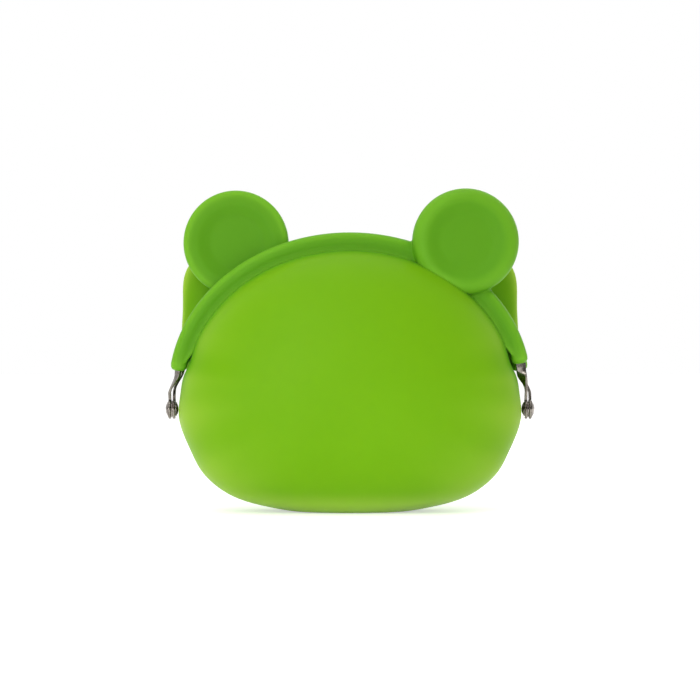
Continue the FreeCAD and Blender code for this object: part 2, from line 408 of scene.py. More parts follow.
def stacked(rings: list[np.ndarray], capped: bool) -> Skin:
    """Skin over closed rings of equal length, one after another.

    Args:
        rings: Closed rings of points.
        capped: Whether the first and last ring are closed with a face.

    Returns:
        The points and the faces.
    """
    size = len(rings[0])
    faces = [
        (k * size + n, k * size + (n + 1) % size, (k + 1) * size + (n + 1) % size, (k + 1) * size + n)
        for k in range(len(rings) - 1) for n in range(size)
    ]
    if capped:
        last = (len(rings) - 1) * size
        faces.append(tuple(reversed(range(size))))
        faces.append(tuple(range(last, last + size)))
    return np.concatenate(rings), faces


def rounded_loop(width: float, depth: float, rounding: float, steps: int = 4) -> np.ndarray:
    """Closed loop of a rectangle with round corners, about its middle.

    Args:
        width: Full size along the first direction.
        depth: Full size along the second direction.
        rounding: Radius of the corners.
        steps: How many spans each corner gets.

    Returns:
        Pairs of distances along the two directions.
    """
    loop = []
    for corner, (first, second) in enumerate(((1, 1), (-1, 1), (-1, -1), (1, -1))):
        for n in range(steps + 1):
            turn = math.pi / 2 * (corner + n / steps)
            loop.append((first * (width / 2 - rounding) + rounding * math.cos(turn),
                         second * (depth / 2 - rounding) + rounding * math.sin(turn)))
    return np.array(loop)


def lathed(profile: list[Pair], steps: int, closed: bool) -> Skin:
    """Turn a section about the X axis.

    Args:
        profile: Radius and distance along X of the section's points.
        steps: How many spans the turn gets.
        closed: Whether the section is a closed loop; an open one gets a flat face at each end.

    Returns:
        The points and the faces.
    """
    turns = 2 * math.pi * np.arange(steps) / steps
    rings = [np.column_stack([np.full(steps, along), radius * np.cos(turns), radius * np.sin(turns)])
             for radius, along in profile]
    points, faces = stacked(rings, not closed)
    if closed:
        last = (len(rings) - 1) * steps
        faces += [(last + n, last + (n + 1) % steps, (n + 1) % steps, n) for n in range(steps)]
    return points, faces


def settle(piece: bpy.types.Object) -> None:
    """Turn a piece's live modifiers into its plain mesh.

    Args:
        piece: An object with modifiers, which it loses.
    """
    bpy.context.view_layer.update()
    evaluated = piece.evaluated_get(bpy.context.evaluated_depsgraph_get())
    mesh = bpy.data.meshes.new_from_object(evaluated)
    old = piece.data
    piece.modifiers.clear()
    piece.data = mesh
    bpy.data.meshes.remove(old)
    mesh.name = piece.name


def discard(*pieces: bpy.types.Object) -> None:
    """Remove helper objects that aren't part of the purse.

    Args:
        *pieces: Objects to remove, with their meshes.
    """
    for piece in pieces:
        mesh = piece.data
        bpy.data.objects.remove(piece)
        bpy.data.meshes.remove(mesh)


def cut_away(piece: bpy.types.Object, tool: bpy.types.Object) -> None:
    """Cut a closed tool out of a closed piece and remove the tool.

    Args:
        piece: What is cut.
        tool: What is taken out of it.
    """
    cut = piece.modifiers.new("cut", "BOOLEAN")
    cut.operation = "DIFFERENCE"
    cut.solver = "EXACT"
    cut.object = tool
    settle(piece)
    discard(tool)


def read_rows(items: bpy.types.bpy_prop_collection, key: str, width: int, kind: type = float) -> np.ndarray:
    """Read a value of each item of a mesh.

    Args:
        items: Points, edges or normals of a mesh.
        key: Name of the value.
        width: How many numbers the value has.
        kind: Type of the numbers.

    Returns:
        One row for each item.
    """
    values = np.empty(len(items) * width, dtype=kind)
    items.foreach_get(key, values)
    return values.reshape(-1, width)


def store(piece: bpy.types.Object, name: str, values: np.ndarray) -> None:
    """Store a number for each point of a piece as a named attribute."""
    piece.data.attributes.new(name, "FLOAT", "POINT").data.foreach_set("value", values)


def mark_crests(piece: bpy.types.Object, reach: float,
                adjust: Callable[[np.ndarray, np.ndarray], np.ndarray]) -> None:
    """Store how far each point stands out from its surroundings, as the attribute crest.

    Args:
        piece: A finished mesh.
        reach: Size of the surroundings, in millimetres.
        adjust: Changes the values, from the points' places in millimetres and the values.
    """
    mesh = piece.data
    places = read_rows(mesh.vertices, "co", 3) / MM
    normals = read_rows(mesh.vertex_normals, "vector", 3)
    ends = read_rows(mesh.edges, "vertices", 2, np.int64)
    step = np.linalg.norm(places[ends[:, 0]] - places[ends[:, 1]], axis=1).mean()
    here = np.concatenate([ends[:, 0], ends[:, 1]])
    there = np.concatenate([ends[:, 1], ends[:, 0]])
    count = len(places)
    links = np.bincount(here, minlength=count)[:, None]
    spread = places
    for _ in range(math.ceil((reach / step) ** 2)):
        sums = [np.bincount(here, spread[there, axis], count) for axis in range(3)]
        spread = np.column_stack(sums) / links
    crest = ((places - spread) * normals).sum(axis=1) / reach
    store(piece, "crest", adjust(places, crest))


def joined(name: str, pieces: list[bpy.types.Object]) -> bpy.types.Object:
    """Join pieces into one object without changing their shapes.

    Args:
        name: Name of the new object.
        pieces: What is joined; these objects are removed.

    Returns:
        The new object.
    """
    work = bmesh.new()
    for piece in pieces:
        work.from_mesh(piece.data)
    mesh = bpy.data.meshes.new(name)
    work.to_mesh(mesh)
    work.free()
    discard(*pieces)
    return in_scene(name, mesh)


class Tree:
    """Small maker of node trees, which keeps the wiring short."""

    def __init__(self, tree: bpy.types.NodeTree) -> None:
        """Take an existing tree to add nodes to."""
        self.tree = tree

    def fill(self, node: bpy.types.Node, inputs: dict[str | int, object]) -> None:
        """Give a node's inputs their values, or link them.

        Args:
            node: Any node of the tree.
            inputs: Values, colours or output sockets for its inputs, by name or number.
        """
        for key, value in inputs.items():
            if isinstance(value, Socket):
                self.tree.links.new(value, node.inputs[key])
            else:
                node.inputs[key].default_value = value.linear if isinstance(value, Colour) else value

    def node(self, kind: str, inputs: dict[str | int, object] | None = None,
             **settings: object) -> bpy.types.Node:
        """Add a node.

        Args:
            kind: The node's type name.
            inputs: Values, colours or output sockets for its inputs, by name or number.
            **settings: The node's own properties.

        Returns:
            The new node.
        """
        made = self.tree.nodes.new(kind)
        for key, value in settings.items():
            setattr(made, key, value)
        self.fill(made, inputs or {})
        return made

    def maths(self, operation: str, first: object, second: object = 0.0) -> Socket:
        """Add a maths node and give its result."""
        return self.node("ShaderNodeMath", {0: first, 1: second}, operation=operation).outputs[0]

    def mixed(self, share: Socket, first: Socket | Colour, second: Colour) -> Socket:
        """Mix a plain colour into another one by a share from 0 to 1."""
        inputs = {"Factor": share, "A": first, "B": second}
        return self.node("ShaderNodeMix", inputs, data_type="RGBA").outputs["Result"]

    def noise(self, place: Socket, size: float, detail: float, roughness: float = 0.5) -> Socket:
        """Add a noise with spots of a size in millimetres and give its value."""
        inputs = {"Vector": place, "Scale": 1 / (size * MM), "Detail": detail, "Roughness": roughness}
        return self.node("ShaderNodeTexNoise", inputs).outputs["Fac"]

    def ranged(self, value: Socket, start: Pair, end: tuple[object, object] = (0.0, 1.0),
               kind: str = "LINEAR") -> Socket:
        """Map one range of a value to another range, and keep it within that."""
        ends = {"From Min": start[0], "From Max": start[1], "To Min": end[0], "To Max": end[1]}
        return self.node("ShaderNodeMapRange", {"Value": value} | ends, interpolation_type=kind).outputs[0]

    def bump(self, height: Socket, strength: float, distance: float) -> Socket:
        """Turn heights into a bumpy normal, with the distance in millimetres."""
        return self.node("ShaderNodeBump", {
            "Height": height, "Strength": strength, "Distance": distance * MM}).outputs[0]

    def rays(self) -> tuple[Socket, Socket]:
        """Give two sockets, 1 for a ray from the camera and 1 for a ray from gloss or glass."""
        ray = self.node("ShaderNodeLightPath").outputs
        return ray["Is Camera Ray"], self.maths("MAXIMUM", ray["Is Glossy Ray"], ray["Is Transmission Ray"])


class ShapeTree(Tree):
    """Geometry Nodes tree with named inputs, which ends in real geometry in its material."""

    def __init__(self, name: str, inputs: dict[str, tuple[str, object]]) -> None:
        """Start the tree with a geometry in and out and a material.

        Args:
            name: The tree's name.
            inputs: Socket type and first value of each named input.
        """
        super().__init__(bpy.data.node_groups.new(name, "GeometryNodeTree"))
        for way in ("INPUT", "OUTPUT"):
            self.tree.interface.new_socket("Geometry", in_out=way, socket_type="NodeSocketGeometry")
        self.identifiers = {}
        for label, (kind, value) in (inputs | {"Material": ("NodeSocketMaterial", None)}).items():
            socket = self.tree.interface.new_socket(label, in_out="INPUT", socket_type=kind)
            if value is not None:
                socket.default_value = value
            self.identifiers[label] = socket.identifier
        self.given = self.node("NodeGroupInput").outputs

    def end(self, geometry: Socket) -> None:
        """End the tree with real geometry in its material.

        Args:
            geometry: What the tree has made.
        """
        real = self.node("GeometryNodeRealizeInstances", {"Geometry": geometry})
        dressed = self.node("GeometryNodeSetMaterial", {
            "Geometry": real.outputs[0], "Material": self.given["Material"]})
        self.node("NodeGroupOutput", {"Geometry": dressed.outputs[0]})

    def run(self, piece: bpy.types.Object, values: dict[str, object]) -> None:
        """Run the tree on a piece and keep the plain mesh.

        Args:
            piece: What the tree takes in and changes.
            values: Value of each named input.
        """
        modifier = piece.modifiers.new(self.tree.name, "NODES")
        modifier.node_group = self.tree
        for label, value in values.items():
            modifier[self.identifiers[label]] = value
        settle(piece)


def new_material(name: str) -> tuple[bpy.types.Material, Tree, bpy.types.Node]:
    """Start a material.

    Args:
        name: Name of the new material.

    Returns:
        The material, its node tree and its shader.
    """
    material = bpy.data.materials.new(name)
    material.use_nodes = True
    return material, Tree(material.node_tree), material.node_tree.nodes["Principled BSDF"]


@dataclass(frozen=True)
class SiliconeFinish:
    """Matt moulded silicone with a fine grain and a faint bloom of dust, with a painted highlight where it
    bulges out and painted shade where the pouch meets the rim.
    """

    name: str
    colour: Colour
    deep_colour: Colour
    pale_colour: Colour
    rim_shade_colour: Colour = Colour.SHADED_LEAF
    pale_range: Pair = (0.04, 0.24)
    grain_size: float = 0.35
    grain_detail: float = 2.0
    grain_roughness: float = 0.6
    grain_height: float = 0.012
    grain_strength: float = 0.6
    cloud_size: float = 22.0
    cloud_detail: float = 3.0
    cloud_roughness: float = 0.55
    cloud_range: Pair = (0.3, 0.7)
    gloss_range: Pair = (0.57, 0.47)
    ior: float = 1.41
    specular: float = 0.18
    translucence: float = 0.35
    glow_colour: Place = (0.8, 1.0, 0.2)
    glow_reach: float = 2.5
    bloom: float = 0.03
    bloom_roughness: float = 0.3

    def make(self) -> bpy.types.Material:
        """Build the material.

        Returns:
            The new material.
        """
        material, tree, shader = new_material(self.name)
        place = tree.node("ShaderNodeTexCoord").outputs["Object"]
        clouds = tree.noise(place, self.cloud_size, self.cloud_detail, self.cloud_roughness)
        grain = tree.noise(place, self.grain_size, self.grain_detail, self.grain_roughness)
        crest = tree.node("ShaderNodeAttribute", attribute_name="crest").outputs["Fac"]
        lip = tree.node("ShaderNodeAttribute", attribute_name="lip").outputs["Fac"]
        plain = tree.mixed(clouds, self.deep_colour, self.colour)
        # Painted highlight: the crest attribute pales the colour where the surface bulges out.
        thin = tree.ranged(crest, self.pale_range, kind="SMOOTHSTEP")
        edged = tree.mixed(thin, plain, self.pale_colour)
        tree.fill(shader, {
            # Painted shade with the rim's green, where the lip attribute marks the pouch next to the rim.
            "Base Color": tree.mixed(lip, edged, self.rim_shade_colour),
            "Roughness": tree.ranged(clouds, self.cloud_range, self.gloss_range),
            "Normal": tree.bump(grain, self.grain_strength, self.grain_height),
            "IOR": self.ior,
            "Specular IOR Level": self.specular,
            "Subsurface Weight": self.translucence,
            "Subsurface Radius": self.glow_colour,
            "Subsurface Scale": self.glow_reach * MM,
            "Sheen Weight": self.bloom,
            "Sheen Roughness": self.bloom_roughness,
        })
        return material


@dataclass(frozen=True)
class SteelFinish:
    """Drawn steel with fine marks along its length and darker, handled patches."""

    name: str
    colour: Colour
    deep_colour: Colour = Colour.DARK_STEEL
    roughness: float = 0.2
    rough_more: float = 0.1
    rough_less: float = 0.08
    mark_size: float = 0.12
    mark_squeeze: float = 0.12
    mark_detail: float = 3.0
    mark_height: float = 0.006
    mark_strength: float = 0.4
    patch_size: float = 2.2
    patch_detail: float = 4.0
    patch_range: Pair = (0.3, 0.7)
    wear_range: Pair = (0.12, 0.38)

    def make(self) -> bpy.types.Material:
        """Build the material.

        Returns:
            The new material.
        """
        material, tree, shader = new_material(self.name)
        place = tree.node("ShaderNodeTexCoord").outputs["Object"]
        drawn = tree.node("ShaderNodeMapping", {"Vector": place, "Scale": (1.0, 1.0, self.mark_squeeze)})
        marks = tree.noise(drawn.outputs[0], self.mark_size, self.mark_detail)
        patches = tree.noise(place, self.patch_size, self.patch_detail)
        pale_share = tree.ranged(tree.maths("MULTIPLY", marks, patches), self.wear_range)
        gloss_range = (self.roughness + self.rough_more, self.roughness - self.rough_less)
        tree.fill(shader, {
            "Base Color": tree.mixed(pale_share, self.deep_colour, self.colour),
            "Roughness": tree.ranged(patches, self.patch_range, gloss_range),
            "Normal": tree.bump(marks, self.mark_strength, self.mark_height),
            "Metallic": 1.0,
        })
        return material


@dataclass
class Pouch:
    """Soft shells of the purse: bowl, belly and panels, with their wall."""

    form: PurseForm
    material: bpy.types.Material
    ring_step: float = 1.1
    edge_depths: tuple[float, ...] = (0.0, 0.25, 0.6, 1.1)
    least_depth_step: float = 0.3
    dome_steps: int = 58
    foot_softness: float = 0.5
    seam_open_low: float = 22.0
    lip_gap_share: float = 0.15
    crease: float = 50.0
    # Reach of the painted highlight on the pouch's bulges, and the share of it left at the top.
    crest_reach: float = 7.0
    top_crest_share: float = 0.4
    # Painted light from the floor, palest at the foot and gone at this height.
    foot_floor_light: float = 0.55
    foot_floor_light_height: float = 8.0
    # Band next to the rim that takes the painted shade.
    lip_start: float = -0.6
    lip_end: float = 5.8

    def depths(self, inset: float) -> list[float]:
        """Depths of the rings, close together at the mid plane and at the belly.

        Args:
            inset: How far the rings are moved in.

        Returns:
            Distances from the mid plane, growing.
        """
        full = self.form.pouch_half_depth - inset
        first = [self.form.half_gap + extra for extra in self.edge_depths]
        rest = []
        for n in range(1, self.dome_steps):
            angle = math.pi / 2 * n / self.dome_steps
            rest.append(full * math.sin(angle) ** (2 / self.form.dome_power))
        return first + [depth for depth in rest if depth > first[-1] + self.least_depth_step]

    def steps(self) -> list[int]:
        """How many points each span of the outline gets.

        Returns:
            One number for each corner of the outline.
        """
        corners = self.form.outline(0.0)
        spans = np.linalg.norm(np.roll(corners, -1, axis=0) - corners, axis=1)
        return [max(2, math.ceil(span / self.ring_step)) for span in spans]

    def rings(self, half: Half, inset: float) -> list[np.ndarray]:
        """Rings of one shell in the front half's place, from the mid plane to the belly.

        Args:
            half: Which half's shape they have.
            inset: How far they are moved in.

        Returns:
            Closed rings of equal length.
        """
        steps = self.steps()
        made = []
        for depth in self.depths(inset):
            swell = self.form.shoulder_swell(depth, half)
            made.append(closed_curve(self.form.ring_corners(depth, inset, swell), steps))
        return made

    def rest_on_foot(self, points: np.ndarray) -> np.ndarray:
        """Flatten what is below the floor, with a soft edge.

        Args:
            points: Points of a shell.

        Returns:
            The same points, none of them below the floor.
        """
        soft = self.foot_softness
        z = points[:, 2]
        lifted = np.where(z > soft, z, np.where(z < -soft, 0.0, (z + soft) ** 2 / (4 * soft)))
        return np.column_stack([points[:, 0], points[:, 1], lifted])

    def shell(self, half: Half) -> bpy.types.Object:
        """Build the soft shell of one half.

        The bowls of both shells meet on the mid plane, and their lips nearly do.

        Args:
            half: Which half to build.

        Returns:
            The shell with its wall, as a plain mesh.
        """
        rings = self.rings(half, 0.0)
        opening = np.array([smooth(z, self.seam_open_low, self.form.hinge_height) for z in rings[0][:, 2]])
        closing = 1 - self.lip_gap_share * opening
        rings[0][:, 1] += closing * self.form.half_gap
        points, faces = stacked(rings, False)
        tip = len(points)
        last = (len(rings) - 1) * len(rings[0])
        points = np.vstack([points, self.form.belly + forward(self.form.pouch_half_depth)])
        faces += [(last + n, last + (n + 1) % len(rings[0]), tip) for n in range(len(rings[0]))]
        piece = make_piece("pouch_" + half.word, (self.rest_on_foot(points), faces), half)
        self.open_side_out(piece)
        wall = piece.modifiers.new("wall", "SOLIDIFY")
        wall.thickness = self.form.wall * MM
        wall.offset = -1.0
        wall.use_even_offset = True
        settle(piece)
        finish_skin(piece, self.material, self.crease)
        # Painted highlight on bulges, and painted floor light on the foot, as the attribute crest.
        mark_crests(piece, self.crest_reach, self.pale_share)
        # Painted shade next to the rim, as the attribute lip.
        self.mark_lip(piece)
        return piece

    def pale_share(self, places: np.ndarray, crest: np.ndarray) -> np.ndarray:
        """Let the painted highlight on bulges fade towards the top and add a painted floor light at the
        foot.

        Args:
            places: Places of the shell's points.
            crest: How far each of them stands out.

        Returns:
            How pale each point is.
        """
        height = places[:, 2]
        top = self.form.arch_centre_height + self.form.arch_rise
        # Painted floor light, strongest at the foot.
        floor_light = np.interp(height, (0, self.foot_floor_light_height), (self.foot_floor_light, 0)) ** 2
        return crest * np.interp(height, (self.form.hinge_height, top), (1, self.top_crest_share)) + floor_light

    def mark_lip(self, piece: bpy.types.Object) -> None:
        """Store how near each point is to the rim, as the attribute lip, which paints shade and the rim's
        green there.

        Args:
            piece: A finished shell.
        """
        near, far = self.form.bead_depth + self.lip_start, self.form.bead_depth + self.lip_end
        low, high = self.form.hinge_height, self.form.hinge_height + self.form.bead_ear_end_rise
        places = read_rows(piece.data.vertices, "co", 3) / MM
        lip = [(1 - smooth(abs(y), near, far)) * smooth(z, low, high) for x, y, z in places]
        store(piece, "lip", np.array(lip))

    def open_side_out(self, piece: bpy.types.Object) -> None:
        """Turn an open shell's faces away from the middle of the pouch.

        Args:
            piece: A shell without its wall.
        """
        work = bmesh.new()
        work.from_mesh(piece.data)
        middle = Vector(self.form.belly * MM)
        outward = sum((face.calc_center_median() - middle).dot(face.normal) * face.calc_area()
                      for face in work.faces)
        if outward < 0:
            bmesh.ops.reverse_faces(work, faces=work.faces)
        work.to_mesh(piece.data)
        work.free()

    def dome(self, half: Half, inset: float) -> bpy.types.Object:
        """Closed body of one half's outside, to trim what lies against it.

        Args:
            half: Which half's shape it has.
            inset: How far its skin lies inside the shell's.

        Returns:
            The body, which reaches past the mid plane.
        """
        rings = self.rings(half, inset)
        behind = rings[0].copy()
        behind[:, 1] += 2 * self.form.wall
        return closed_piece("dome_tool", stacked([behind] + rings, True), half)

    def dress(self) -> list[bpy.types.Object]:
        """Build both shells in place of the imported lobes and base.

        Returns:
            The two shells.
        """
        made = []
        for half in Half:
            piece = self.shell(half)
            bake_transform(piece)
            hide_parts(half.word + "_lobe", "pouch_base")
            made.append(piece)
        return made


@dataclass
class Rim:
    """Moulded bead of one half with its round ear, in one piece of silicone.

    The web is the thin skin that joins the bead to the pouch's lip.
    """

    form: PurseForm
    pouch: Pouch
    material: bpy.types.Material
    bead_rounding: float = 1.9
    end_rounding: float = 1.5
    end_rounding_most_share: float = 0.45
    rounding_steps: int = 6
    path_steps: int = 150
    path_end_shares: tuple[float, ...] = (0.0005, 0.0013, 0.0026, 0.0042)
    web_depth: float = 4.8
    web_setback: float = 0.3
    web_overlap: float = 0.9
    web_rounding: float = 0.1
    web_margin: float = 3.0
    web_retreat: float = 1.5
    web_retreat_share: float = 0.05
    ear_angle: float = 55.0
    ear_radius: float = 15.0
    ear_thickness: float = 8.8
    ear_front_rounding: float = 3.4
    ear_front_steps: int = 14
    ear_back_rounding: float = 1.6
    ear_back_steps: int = 8
    ear_stand: float = 6.1
    ear_rim_width: float = 3.6
    ear_segments: int = 128
    dish_depth: float = 1.1
    dish_slope_width: float = 4.4
    dish_steps: int = 12
    sink: float = 0.35
    voxel: float = 0.27
    relax_steps: int = 8
    relax_factor: float = 0.5
    # Reach of the painted highlight on the ear's and bead's bulges, and the share the bead keeps.
    crest_reach: float = 2.5
    bead_crest_share: float = 0.68

    @property
    def ear_centre(self) -> np.ndarray:
        """Middle of the ear on the mid plane, in the front half's place."""
        return self.form.arch_point(self.ear_angle, -self.ear_stand)

    @cached_property
    def sweep(self) -> ShapeTree:
        """Tree that sweeps a rounded section along a path and rounds its ends.

        Returns:
            The tree, which is made once.
        """
        tree = ShapeTree("bead_sweep", {
            "Height": ("NodeSocketFloat", self.form.bead_height * MM),
            "Depth": ("NodeSocketFloat", self.form.bead_depth * MM),
            "Rounding": ("NodeSocketFloat", self.bead_rounding * MM),
            "End Rounding": ("NodeSocketFloat", self.end_rounding * MM),
            "Rounding Steps": ("NodeSocketInt", self.rounding_steps),
        })
        height, depth, ends = tree.given["Height"], tree.given["Depth"], tree.given["End Rounding"]
        path = tree.node("GeometryNodeMeshToCurve", {"Mesh": tree.given["Geometry"]})
        upright = tree.node("GeometryNodeSetCurveNormal", {
            "Curve": path.outputs[0], "Normal": (0.0, -1.0, 0.0)}, mode="FREE")
        along = tree.node("GeometryNodeSplineParameter").outputs["Length"]
        whole = tree.node("GeometryNodeSplineLength").outputs["Length"]
        to_end = tree.maths("MINIMUM", along, tree.maths("SUBTRACT", whole, along))
        missing = tree.maths("MAXIMUM", tree.maths("SUBTRACT", ends, to_end), 0.0)
        squares = tree.maths("SUBTRACT", tree.maths("POWER", ends, 2.0), tree.maths("POWER", missing, 2.0))
        drop = tree.maths("SUBTRACT", ends, tree.maths("SQRT", tree.maths("MAXIMUM", squares, 0.0)))
        share = tree.maths("DIVIDE", drop, tree.maths("MULTIPLY", height, 0.5))
        section = tree.node("GeometryNodeCurvePrimitiveQuadrilateral", {"Width": depth, "Height": height})
        rounded = tree.node("GeometryNodeFilletCurve", {
            "Curve": section.outputs[0], "Radius": tree.given["Rounding"],
            "Count": tree.given["Rounding Steps"]}, mode="POLY")
        bar = tree.node("GeometryNodeCurveToMesh", {
            "Curve": upright.outputs[0], "Profile Curve": rounded.outputs[0],
            "Scale": tree.maths("SUBTRACT", 1.0, share), "Fill Caps": True})
        tree.end(bar.outputs[0])
        return tree

    def path(self, name: str, inset: float, depth: float, margin: float, retreat: float) -> bpy.types.Object:
        """Line along the arch, with close points where its ends round off.

        Args:
            name: Name of the new object.
            inset: Distance of the line from the arch, inwards.
            depth: Distance of the line from the mid plane.
            margin: Degrees of the arch left free at each end.
            retreat: How far its ends slip outwards across the arch.

        Returns:
            The line in the front half's place.
        """
        right = self.form.station_at_rise(self.form.bead_ear_end_rise) + margin
        left = 180 - self.form.station_at_rise(self.form.bead_long_end_rise) - margin
        ends = np.array(self.path_end_shares)
        shares = np.sort(np.concatenate([np.linspace(0, 1, self.path_steps + 1), ends, 1 - ends]))
        points = []
        for share in shares:
            back = retreat * (1 - smooth(min(share, 1 - share), 0, self.web_retreat_share))
            middle = self.form.arch_point(right + (left - right) * share, inset - back)
            points.append(middle + forward(depth))
        mesh = bpy.data.meshes.new(name)
        mesh.from_pydata((np.array(points) * MM).tolist(), [(n, n + 1) for n in range(len(points) - 1)], [])
        return in_scene(name, mesh)

    def bar(self, name: str, inset: float, depth: float, size: Pair, rounding: float,
            margin: float = 0.0, retreat: float = 0.0) -> bpy.types.Object:
        """Bar swept along the arch.

        Args:
            name: Name of the new object.
            inset: Distance of the bar's middle from the arch, inwards.
            depth: Distance of the bar's middle from the mid plane.
            size: Height across the arch and depth along Y.
            rounding: Rounding of the long edges.
            margin: Degrees of the arch left free at each end.
            retreat: How far its ends slip outwards across the arch.

        Returns:
            The bar in the front half's place.
        """
        piece = self.path(name, inset, depth, margin, retreat)
        end_rounding = min(self.end_rounding, self.end_rounding_most_share * size[0])
        self.sweep.run(piece, {
            "Height": size[0] * MM, "Depth": size[1] * MM, "Rounding": rounding * MM,
            "End Rounding": end_rounding * MM, "Rounding Steps": self.rounding_steps,
            "Material": self.material,
        })
        face_outwards(piece)
        return piece

    def ear_profile(self) -> list[Pair]:
        """Section of the ear, from its back's dish round the edge to its face's dish.

        Returns:
            Radius and depth of each point.
        """
        front, back = self.ear_front_rounding, self.ear_back_rounding
        lip = self.ear_radius - self.ear_rim_width
        dish = [(lip - self.dish_slope_width * n / self.dish_steps,
                 self.dish_depth * smooth(n / self.dish_steps, 0, 1)) for n in range(self.dish_steps + 1)]
        profile = list(reversed(dish))
        for n in range(self.ear_back_steps + 1):
            turn = math.pi / 2 * n / self.ear_back_steps
            profile.append((self.ear_radius - back + back * math.sin(turn), back - back * math.cos(turn)))
        for n in range(self.ear_front_steps + 1):
            turn = math.pi / 2 * n / self.ear_front_steps
            profile.append((self.ear_radius - front + front * math.cos(turn),
                            self.ear_thickness - front + front * math.sin(turn)))
        return profile + [(radius, self.ear_thickness - depth) for radius, depth in dish]

    def ear(self) -> bpy.types.Object:
        """Round ear with soft edges and a dish on both sides.

        Returns:
            The ear in the front half's place.
        """
        points, faces = lathed(self.ear_profile(), self.ear_segments, False)
        turned = np.column_stack([points[:, 1], -self.form.half_gap - points[:, 0], points[:, 2]])
        return closed_piece("ear_blank", (turned + self.ear_centre, faces))

    def build(self, half: Half) -> bpy.types.Object:
        """Build the rim and ear of one half.

        Args:
            half: Which half to build.

        Returns:
            The moulded rim with its ear.
        """
        form = self.form
        bead = self.bar("bead_blank", form.bead_height / 2, form.strip_depth,
                        (form.bead_height, form.bead_depth), self.bead_rounding)
        web_height = form.seat_gap + 2 * self.web_overlap
        web = self.bar("web_blank", form.bead_height + form.seat_gap / 2,
                       form.half_gap + self.web_setback + self.web_depth / 2, (web_height, self.web_depth),
                       self.web_rounding, self.web_margin, self.web_retreat)
        ear = self.ear()
        for blank in (bead, web, ear):
            blank.data.transform(Matrix.Diagonal((half.sign, half.sign, 1, 1)))
        cut_away(ear, self.pouch.dome(half, self.sink))
        piece = joined("rim_" + half.word, [bead, web, ear])
        melt = piece.modifiers.new("melt", "REMESH")
        melt.mode = "VOXEL"
        melt.voxel_size = self.voxel * MM
        melt.use_smooth_shade = True
        relax = piece.modifiers.new("relax", "SMOOTH")
        relax.factor = self.relax_factor
        relax.iterations = self.relax_steps
        settle(piece)
        finish_skin(piece, self.material)
        centre = half.place(self.ear_centre)

        def calmed(places: np.ndarray, crest: np.ndarray) -> np.ndarray:
            """Give the ear the painted highlight in full and the bead in part."""
            away = np.hypot(places[:, 0] - centre[0], places[:, 2] - centre[2]) - self.ear_radius
            return crest * np.interp(away, (0, self.ear_front_rounding), (1, self.bead_crest_share))

        # Painted highlight on the ear's and bead's bulges, as the attribute crest.
        mark_crests(piece, self.crest_reach, calmed)
        return piece

    def dress(self) -> list[bpy.types.Object]:
        """Build both rims and hang each on its half.

        Returns:
            The two rims.
        """
        made = []
        for half in Half:
            piece = self.build(half)
            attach(piece, half.value)
            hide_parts(half.word + "_rim", half.word + "_ear")
            made.append(piece)
        return made


@dataclass(frozen=True)
class HingeSizes:
    """Sizes of the rivet stack on each side, from the pouch outwards."""

    form: PurseForm
    rivet_clearance: float = 0.2
    tail_height: float = 0.45
    tail_radius: float = 1.8
    shank_radius: float = 1.0
    head_height: float = 0.85
    head_radius: float = 2.4
    washer_thickness: float = 0.3
    inner_washer_radius: float = 2.0
    spacer_radius: float = 2.3
    eyelet_radius: float = 2.85
    eyelet_thickness: float = 0.8
    play: float = 0.05
    ring_segments: int = 56
    ring_edge_steps: int = 3

    @property
    def places(self) -> dict[str, Pair]:
        """Distances along X of the stack's faces, from the side of the pouch outwards.

        Returns:
            Inner and outer face of each piece.
        """
        made, at = {}, self.form.pouch_half_width + self.rivet_clearance
        for name, length in (("tail", self.tail_height), ("inner_washer", self.washer_thickness),
                             ("inner_eyelet", self.eyelet_thickness), ("spacer", self.washer_thickness),
                             ("outer_eyelet", self.eyelet_thickness), ("head", self.head_height)):
            made[name] = (at, at + length)
            at += length + (0 if name == "tail" else self.play)
        return made

    def lifted(self, skin: Skin) -> Skin:
        """Skin made about the X axis, lifted to the hinge line."""
        return skin[0] + np.array([0.0, 0.0, self.form.hinge_height]), skin[1]

    def ring(self, outer: float, span: Pair, edge: float) -> Skin:
        """Flat ring with soft edges that turns on the rivet.

        Args:
            outer: Its outer radius.
            span: Its two faces along X.
            edge: Rounding of its edges.

        Returns:
            The ring's skin.
        """
        inner = self.shank_radius + self.play
        loop = rounded_loop(outer - inner, span[1] - span[0], edge, self.ring_edge_steps)
        profile = [((inner + outer) / 2 + radius, (span[0] + span[1]) / 2 + along) for radius, along in loop]
        return self.lifted(lathed(profile, self.ring_segments, True))


